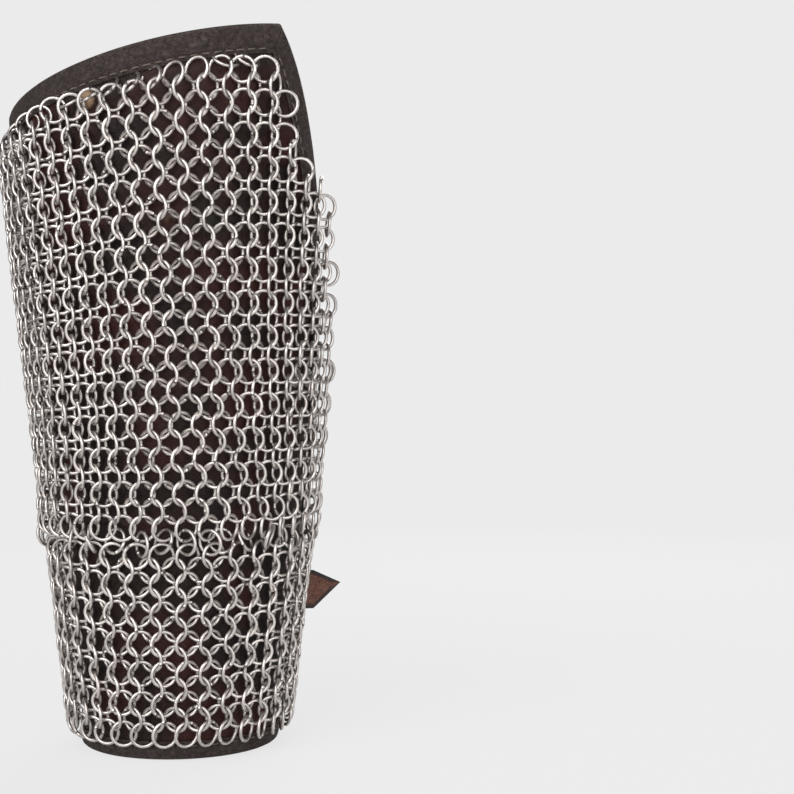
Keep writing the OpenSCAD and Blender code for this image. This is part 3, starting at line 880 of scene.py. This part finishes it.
def makeMail():
    random = np.random.default_rng(ringMail["seed"])
    ringFaces = tubeFaces(ringMail["parts"] + 1, ringMail["sides"])
    nodes = {}
    rings = ringPlaces()
    rings += tiePlaces(rings, random)
    for node, *spot in rings:
        tilt = random.uniform(-1, 1, 2) * ringMail["tiltPlay"]
        shift = random.uniform(-1, 1, 2) * ringMail["placePlay"]
        play = (*tilt, *shift, random.uniform(0, 2 * math.pi),
                random.uniform(-ringMail["skewPlay"], ringMail["skewPlay"]))
        nodes.setdefault(node, []).append(ringPoints(spot, play).reshape(-1, 3))
    for node, rings in sorted(nodes.items()):
        mesh = bpy.data.meshes.new(f"ringCourses_{node:02d}")
        faces = repeatFaces(ringFaces, len(rings[0]), len(rings))
        mesh.from_pydata((np.concatenate(rings) * mm).tolist(), [], faces)
        mesh.shade_smooth()
        mesh.materials.append(ringSteel)
        place(addObject(mesh.name, mesh), "sleeve", [f"mail_{node:02d}"])


makeMail()
print("mail is made")


# Straps: one piece of leather each, riveted to the back panel and free beyond its edge

straps = {
    "width": 18, "thickness": 3, "out": 1.1, "leave": 190, "rootAngle": 36, "tip": 13, "pointShare": 1 / 3,
    "hole": 3.4, "holePitch": 11, "holes": 5, "bevel": 0.5, "rimFrom": 2.0, "rimTo": 2.9, "endTaper": 1.2,
    "rootSide": 5, "freeSide": 7, "lower": {"z": 57, "length": 76}, "upper": {"z": 155, "length": 68},
}


def strapSection():
    # Points across the strap as (share of the half width, inset, height, edge, flesh)
    t, b = straps["thickness"], straps["bevel"]
    half = [(b, t, 1), (straps["rimFrom"], t, 0.75), (straps["rimTo"], t, 0)]
    corner = [(0, t - b, 1), (0.3 * b, t - 0.3 * b, 1)]
    left = [(-1, *point, 0) for point in corner + half]
    right = [(1, *point, 0) for point in reversed(corner + half)]
    upper = left + [(0, 0, t, 0, 0)] + right
    return upper + [(s, inset, t - h, edge, 1) for s, inset, h, edge, _ in reversed(upper)]


def strapEdges(past):
    # Lower and upper edge at a distance from the tip, which points down
    half, point = straps["width"] / 2, straps["pointShare"]
    share = min(1.0, past / straps["tip"])
    return half * (point - (1 + point) * share), half * (point + (1 - point) * share)


def holeCutter(centre, outward):
    shape = bmesh.new()
    radius = straps["hole"] / 2 * mm
    bmesh.ops.create_cone(shape, cap_ends=True, segments=28, radius1=radius, radius2=radius, depth=0.02)
    turn = Vector(outward).to_track_quat("Z", "Y").to_matrix().to_4x4()
    return addCutter(shape, Matrix.Translation(Vector(centre * mm)) @ turn)


def makeStrap(side):
    z, length = straps[side]["z"], straps[side]["length"]
    leave, thick, tip, taper = straps["leave"], straps["thickness"], straps["tip"], straps["endTaper"]
    along, outward, up = skinAxes(leave)
    root = skinPoint(leave, z, straps["out"])
    rootLength = math.radians(straps["rootAngle"]) * float(skinRadius(z))
    stations = np.concatenate([
        np.linspace(-length + 0.15, tip - length, 12), np.arange(tip - length + 1.5, -1, 2.0),
        np.linspace(0, rootLength - taper, 22), [rootLength - 0.4, rootLength]])
    section = strapSection()
    rows, edges = [], []
    for s in stations:
        low, high = strapEdges(s + length)
        middle, half = (low + high) / 2, (high - low) / 2
        shrink = min(1.0, half / 3.2)
        thinned = (1 - 0.3 * max(0, (s - rootLength + taper) / taper) ** 2) * (0.75 + 0.25 * shrink)
        nearTip = max(0.0, 1 - (s + length) / 2.5)
        ring = []
        for across, inset, height, edge, _ in section:
            w = middle + across * half - across * inset * shrink
            h = thick / 2 + (height - thick / 2) * thinned
            if s < 0:
                ring.append(root + along * s + up * w + outward * h)
            else:
                az = leave + float(arcAngle(s, z))
                ring.append(skinPoint(az, z + w * math.cos(lean), straps["out"] + h))
            edges.append(max(edge, nearTip))
        rows.append(ring)
    piece = tubeMesh(side + "Strap", rows, strapLeather, creaseAngle=40)
    markPoints(piece, "edge", edges)
    markPoints(piece, "flesh", [flesh for *_, flesh in section] * len(rows))
    holes = [root + along * (2 * tip - length + k * straps["holePitch"]) + outward * thick / 2
             for k in range(straps["holes"])]
    cutAway(piece, [holeCutter(hole, outward) for hole in holes])
    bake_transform(piece)
    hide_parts(side + "_strap_root", side + "_strap_end")


makeStrap("lower")
makeStrap("upper")
print("straps are made")


# Buckles: chapes, keepers and rivets

buckles = {
    "frameWire": 3, "eye": 6, "slot": 5, "lower": 135, "upper": 118,
    "chapeThickness": 3.2, "chapeWidth": 18, "chapeLayer": 1.55, "chapeParts": 3.5,
    "keeperWidth": 5, "keeperThickness": 1.5, "keeperSet": 7, "keeperCorner": 1.6,
    "rivetSet": 6, "rivetPitch": 10.5, "rivetHead": 8, "rivetShank": 3, "rivetRise": 0.8,
    "strapRivetRise": 1.4,
}
chapeIn = stack + sleeve["bindThickness"] + 0.1
barIn = chapeIn + buckles["chapeThickness"] / 2


def chapeRivet(z, k):
    return float(insideEdge(z, buckles["rivetHead"] / 2 + 1 + buckles["rivetPitch"] * k))


def barFrame(az, z):
    return (skinPoint(az, z, -barIn), *skinAxes(az))


def makeChape(side):
    z, az, layer, half = straps[side]["z"], buckles[side], buckles["chapeLayer"], buckles["chapeWidth"] / 2
    origin, along, outward, up = barFrame(az, z)
    loop = buckles["frameWire"] / 2 + 0.05 + layer / 2
    farAz = chapeRivet(z, 1) - float(arcAngle(buckles["rivetSet"], z))
    apart = buckles["chapeThickness"] / 2 - layer / 2
    legs = np.linspace(farAz, az - buckles["chapeParts"], 22)
    centre = [skinPoint(here, z, -barIn + apart) for here in legs]
    centre += [origin + along * loop * math.cos(a) + outward * loop * math.sin(a)
               for a in np.radians(np.linspace(125, -125, 15))]
    centre = np.array(centre + [skinPoint(here, z, -barIn - apart) for here in reversed(legs)])
    ahead = np.gradient(centre, axis=0)
    ahead /= np.linalg.norm(ahead, axis=1)[:, None]
    normal = np.cross(ahead, up)
    rows = []
    for w, share in ((-half, 0.5), (-half + 0.2, 0.85), (-half + 0.6, 1), (-half / 2, 1), (0, 1),
                     (half / 2, 1), (half - 0.6, 1), (half - 0.2, 0.85), (half, 0.5)):
        offset = normal * layer / 2 * share
        rows.append(np.concatenate([centre + offset, (centre - offset)[::-1]]) + up * w)
    piece = tubeMesh(side + "Chape", rows, strapLeather, creaseAngle=60)
    shape = bmesh.new()
    bmesh.ops.create_cube(shape, size=1)
    reach = buckles["eye"] / 2 + 1
    axes = Matrix([(*(along * 20 * mm), 0), (*(outward * 20 * mm), 0), (*(up * buckles["slot"] * mm), 0),
                   (0, 0, 0, 1)]).transposed()
    slotAt = Matrix.Translation(Vector((origin + along * (10 - reach)) * mm))
    cutAway(piece, [addCutter(shape, slotAt @ axes)])
    points = pointsOf(piece)
    across = np.abs((points - origin) @ up)
    markPoints(piece, "edge", np.clip((across - half + 1.2) / 1.0, 0, 1))
    markPoints(piece, "flesh", np.zeros(len(points)))
    place(piece, "sleeve", [side + "_chape"])


def makeKeeper(side):
    z, t, corner = straps[side]["z"], buckles["keeperThickness"], buckles["keeperCorner"]
    turn = buckles["keeperSet"] / (skinRadius(z) - barIn) * 180 / math.pi
    origin, along, outward, up = barFrame(buckles[side] - turn, z)
    wide = (straps["width"] + 1) / 2 + t / 2
    outer = buckles["chapeThickness"] / 2 + straps["thickness"] + 1 + t / 2
    inner = buckles["chapeThickness"] / 2 + 0.3 + t / 2
    path = []
    for cx, cy, start in ((wide, outer, 0), (-wide, outer, 90), (-wide, -inner, 180), (wide, -inner, 270)):
        middle = (cx - math.copysign(corner, cx), cy - math.copysign(corner, cy))
        for a in np.radians(np.linspace(start, start + 90, 7)):
            path.append((middle[0] + corner * math.cos(a), middle[1] + corner * math.sin(a), a))
    width = buckles["keeperWidth"] / 2
    # Across the band: place along the sleeve, height and wear
    section = [(-width, -0.2 * t, 1), (-width, 0.2 * t, 1), (-width + 0.35, 0.5 * t, 0.3), (0, 0.52 * t, 0),
               (width - 0.35, 0.5 * t, 0.3), (width, 0.2 * t, 1), (width, -0.2 * t, 1),
               (width - 0.35, -0.5 * t, 0.3), (0, -0.5 * t, 0), (-width + 0.35, -0.5 * t, 0.3)]
    rows = []
    for w, h, a in path:
        normal = up * math.cos(a) + outward * math.sin(a)
        centre = origin + up * w + outward * h
        rows.append([centre + along * x + normal * y for x, y, _ in section])
    piece = tubeMesh(side + "Keeper", rows, strapLeather, closed=True, creaseAngle=60)
    markPoints(piece, "edge", np.tile([worn for *_, worn in section], len(path)))
    markPoints(piece, "flesh", np.zeros(len(path) * len(section)))
    place(piece, "sleeve", [side + "_keeper"])


def rivetPoints(az, z, headAt, headHeight, tailAt, tailHeight):
    # A domed head and a flatter cap, turned about the shank
    along, outward, up = skinAxes(az)
    base = skinPoint(az, z, 0)
    r, shank = buckles["rivetHead"] / 2, buckles["rivetShank"] / 2
    arc = np.radians(np.linspace(90, 0, 9))
    profile = [(r * math.cos(a) * (1 - 0.02 * math.sin(a)),
                headAt + 0.25 + (headHeight - 0.25) * math.sin(a)) for a in arc]
    profile += [(r, headAt + 0.12), (r - 0.15, headAt), (shank, headAt), (shank, -tailAt),
                (r - 0.15, -tailAt), (r, -tailAt - 0.12)]
    profile += [(r * math.cos(a), -tailAt - 0.2 - (tailHeight - 0.2) * math.sin(a)) for a in arc[::-1]]
    profile[0], profile[-1] = (0.02, profile[0][1]), (0.02, profile[-1][1])
    return [[base + outward * h + radius * (math.cos(b) * along + math.sin(b) * up) for radius, h in profile]
            for b in fullTurn(28)]


def makeRivets(name, node, body, azimuths, z, *sizes):
    rivets = np.array([rivetPoints(az, z, *sizes) for az in azimuths])
    count, rows, columns = rivets.shape[:3]
    own = gridFaces(rows, columns, wrapRows=True)
    own += [[r * columns for r in range(rows)], [r * columns + columns - 1 for r in range(rows)]]
    faces = repeatFaces(own, rows * columns, count)
    place(buildPiece(name, rivets, faces, fittingSteel, creaseAngle=35), body, [node])


def makeFittings():
    rootEnd, rise = straps["leave"] + straps["rootAngle"], buckles["rivetRise"]
    for side in ("lower", "upper"):
        makeChape(side)
        makeKeeper(side)
        z = straps[side]["z"]
        insets = [buckles["rivetSet"] + buckles["rivetPitch"] * k for k in (0, 1)]
        makeRivets(side + "StrapRivets", side + "_strap_rivets", "back_flap",
                   [rootEnd - float(arcAngle(inset, z)) for inset in insets], z,
                   straps["out"] + straps["thickness"] + 0.1, buckles["strapRivetRise"], stack + 0.3, rise)
        makeRivets(side + "ChapeRivets", side + "_chape_rivets", "sleeve",
                   [chapeRivet(z, k) for k in (0, 1)], z,
                   0.1, rise, chapeIn + buckles["chapeThickness"] + 0.3, rise)
        for label in ("buckle_frame", "prong", "roller"):
            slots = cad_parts[f"{side}_{label}"].data.materials
            slots.clear()
            slots.append(fittingSteel)


makeFittings()
print("buckles are made")


# Floor, light and camera

studio = {"paper": 0.8308, "floorShare": 0.88, "fadeFrom": 0.4, "fadeTo": 1.1, "worldLight": 0.36,
          "mirrorDark": 0.05, "mirrorPale": 0.8, "paleFrom": 0.5, "paleTo": 0.95}
paper = (studio["paper"],) * 3 + (1,)


def rayKinds(tree):
    return addNode(tree, "LightPath").outputs


def mixShader(factor, first, second):
    return addNode(factor.id_data, "MixShader", {0: factor, 1: first, 2: second}).outputs[0]


def mirrored(tree):
    # What the steel mirrors: pale in front and behind, dark to both sides
    towards = addNode(tree, "TexCoord").outputs["Generated"]
    split = addNode(tree, "SeparateXYZ", {"Vector": towards}).outputs
    ahead = sums("ABSOLUTE", split["Y"])
    return remap(ahead, studio["paleFrom"], studio["paleTo"], studio["mirrorDark"], studio["mirrorPale"])


def makeFloor():
    bpy.ops.mesh.primitive_circle_add(vertices=96, radius=3.0, fill_type="NGON")
    floor = bpy.context.object
    floor.name = "floor"
    material = bpy.data.materials.new("studioPaper")
    tree = emptyTree(material)
    diffuse = addNode(tree, "BsdfDiffuse", {"Color": (0.8, 0.8, 0.8, 1)}).outputs[0]
    glow = addNode(tree, "Emission", {"Color": paper}).outputs[0]
    share = sums("MULTIPLY", rayKinds(tree)["Is Camera Ray"], studio["floorShare"])
    lit = mixShader(share, diffuse, glow)
    distance = vectorSums("LENGTH", {0: coordinates(tree)}, "Value")
    faded = remap(distance, studio["fadeFrom"], studio["fadeTo"])
    clear = addNode(tree, "BsdfTransparent").outputs[0]
    addNode(tree, "OutputMaterial", {"Surface": mixShader(faded, lit, clear)})
    floor.data.materials.append(material)


def makeWorld():
    world = bpy.data.worlds.new("studio")
    bpy.context.scene.world = world
    tree = emptyTree(world)

    def background(color, strength):
        return addNode(tree, "Background", {"Color": color, "Strength": strength}).outputs[0]

    rays = rayKinds(tree)
    light = background((1, 1, 1, 1), studio["worldLight"])
    mirror = background((1, 0.98, 0.965, 1), mirrored(tree))
    unseen = mixShader(rays["Is Glossy Ray"], light, mirror)
    seen = mixShader(rays["Is Camera Ray"], unseen, background(paper, 1.0))
    addNode(tree, "OutputWorld", {"Surface": seen})


def makeLights():
    lamps = {
        "key": {"place": (-0.5, -1.0, 0.75), "size": 1.2, "power": 16},
        "fill": {"place": (0.8, -0.9, 0.35), "size": 1.0, "power": 7},
        "back": {"place": (0.35, 0.95, 0.7), "size": 1.1, "power": 11},
    }
    aim = Vector((0, 0, 0.14))
    for name, own in lamps.items():
        data = bpy.data.lights.new(name, "AREA")
        data.size, data.energy = own["size"], own["power"]
        lamp = addObject(name, data)
        lamp.location = own["place"]
        lamp.rotation_euler = (aim - lamp.location).to_track_quat("-Z", "Y").to_euler()


def makeCamera():
    view = {"place": (0.093, -0.65, 0.147), "lens": 68.4, "sensor": 36}
    data = bpy.data.cameras.new("photoView")
    data.lens, data.sensor_width = view["lens"], view["sensor"]
    camera = addObject("photoView", data)
    camera.location = view["place"]
    camera.rotation_euler = (math.radians(90), 0, 0)
    bpy.context.scene.camera = camera


makeCamera()
makeFloor()
makeWorld()
makeLights()
bpy.context.scene.view_settings.view_transform = "Standard"
print("studio is made")
